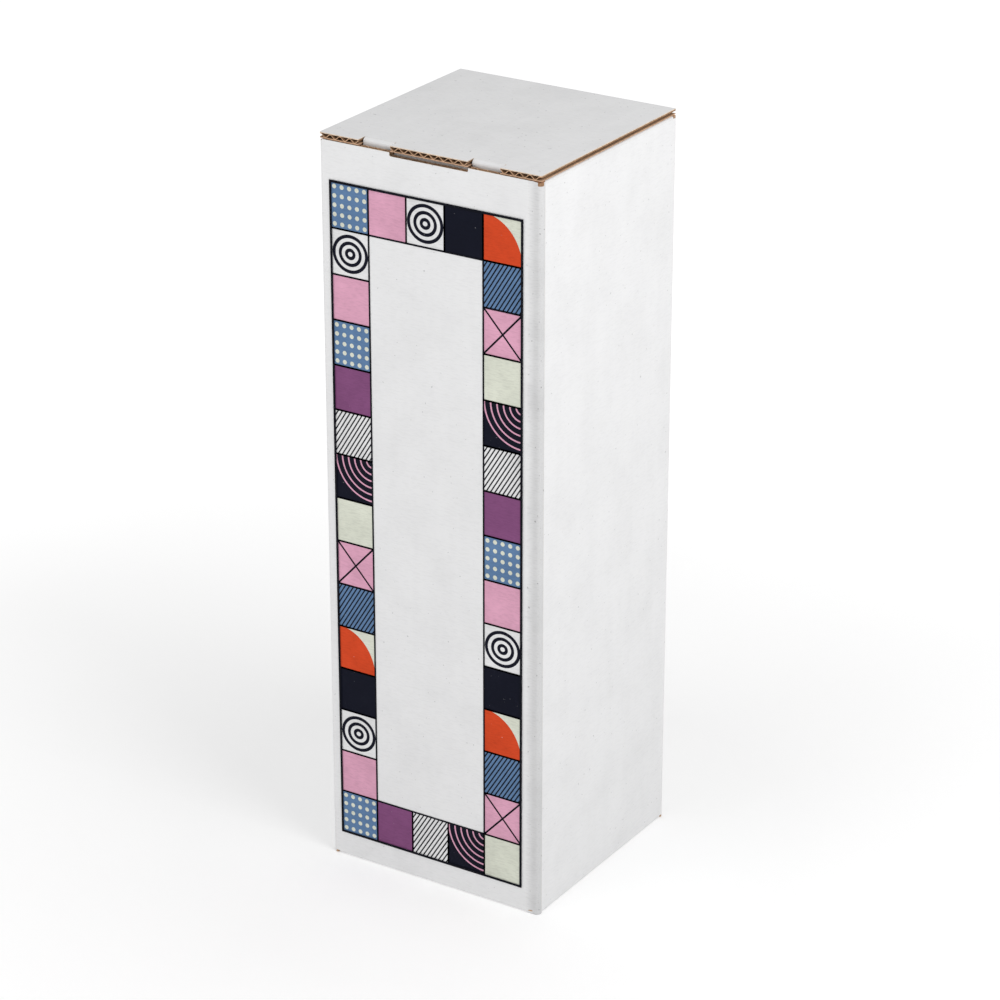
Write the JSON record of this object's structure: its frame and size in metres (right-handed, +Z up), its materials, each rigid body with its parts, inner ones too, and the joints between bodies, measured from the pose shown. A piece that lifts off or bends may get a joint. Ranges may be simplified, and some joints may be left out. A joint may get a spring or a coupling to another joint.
{
  "type": "corrugated gift box",
  "caption": "Tall square gift box of white corrugated board with a hinged tuck-in lid, dust flaps, a snap-lock bottom and a printed patchwork front.",
  "frame": {"origin": "middle of the base, on the surface that the box stands on", "axes": "+Z up along the box's height; -Y out of the printed front panel; +X to the right as seen from the front"},
  "size_m": [0.078, 0.078, 0.244],
  "materials": {
    "white_board": "uncoated white liner over a brown fluted core",
    "printed_board": "white liner printed with a geometric patchwork border",
    "creased_board": "white liner pressed along a fold",
    "kraft_board": "brown kraft liner"
  },
  "bodies": {
    "sleeve": {"front_panel": "printed_board", "back_panel": "white_board", "left_panel": "white_board", "right_panel": "white_board", "glue_flap": "kraft_board", "front_left_crease": "creased_board", "front_right_crease": "creased_board", "back_right_crease": "creased_board", "glue_crease": "creased_board"},
    "lid": {"lid_panel": "white_board", "lid_crease": "creased_board"},
    "tuck": {"tuck_flap": "white_board", "left_tuck_crease": "creased_board", "right_tuck_crease": "creased_board"},
    "left_dust": {"left_dust_flap": "white_board", "left_dust_crease": "creased_board"},
    "right_dust": {"right_dust_flap": "white_board", "right_dust_crease": "creased_board"},
    "front_bottom": {"front_bottom_flap": "white_board", "front_bottom_crease": "creased_board"},
    "back_bottom": {"back_bottom_flap": "white_board", "back_bottom_crease": "creased_board"},
    "left_bottom": {"left_bottom_flap": "white_board", "left_bottom_crease": "creased_board"},
    "right_bottom": {"right_bottom_flap": "white_board", "right_bottom_crease": "creased_board"}
  },
  "joints": [
    {"name": "lid_hinge", "type": "hinge", "parent": "sleeve", "child": "lid", "pos_m": [0, 0.0381, 0.2431], "axis": [-1, 0, 0], "range_deg": [0, 180]},
    {"name": "tuck_fold", "type": "hinge", "parent": "lid", "child": "tuck", "pos_m": [0, -0.036, 0.2431], "axis": [-1, 0, 0], "range_deg": [0, 63]},
    {"name": "left_dust_fold", "type": "hinge", "parent": "sleeve", "child": "left_dust", "pos_m": [-0.0381, 0, 0.241], "axis": [0, -1, 0], "range_deg": [0, 90]},
    {"name": "right_dust_fold", "type": "hinge", "parent": "sleeve", "child": "right_dust", "pos_m": [0.0381, 0, 0.241], "axis": [0, 1, 0], "range_deg": [0, 90]},
    {"name": "front_bottom_fold", "type": "hinge", "parent": "sleeve", "child": "front_bottom", "pos_m": [0, -0.0381, 0.0009], "axis": [-1, 0, 0], "range_deg": [0, 90]},
    {"name": "back_bottom_fold", "type": "hinge", "parent": "sleeve", "child": "back_bottom", "pos_m": [0, 0.0381, 0.0009], "axis": [1, 0, 0], "range_deg": [0, 85.5]},
    {"name": "left_bottom_fold", "type": "hinge", "parent": "sleeve", "child": "left_bottom", "pos_m": [-0.0381, 0, 0.0009], "axis": [0, 1, 0], "range_deg": [0, 76.5]},
    {"name": "right_bottom_fold", "type": "hinge", "parent": "sleeve", "child": "right_bottom", "pos_m": [0.0381, 0, 0.0009], "axis": [0, -1, 0], "range_deg": [0, 76.5]}
  ],
  "couplings": [
    {"joint": "tuck_fold", "follows": "lid_hinge", "ratio": 0.35},
    {"joint": "left_dust_fold", "follows": "lid_hinge", "ratio": 0.5},
    {"joint": "right_dust_fold", "follows": "lid_hinge", "ratio": 0.5},
    {"joint": "back_bottom_fold", "follows": "front_bottom_fold", "ratio": 0.95},
    {"joint": "left_bottom_fold", "follows": "front_bottom_fold", "ratio": 0.85},
    {"joint": "right_bottom_fold", "follows": "front_bottom_fold", "ratio": 0.85}
  ]
}
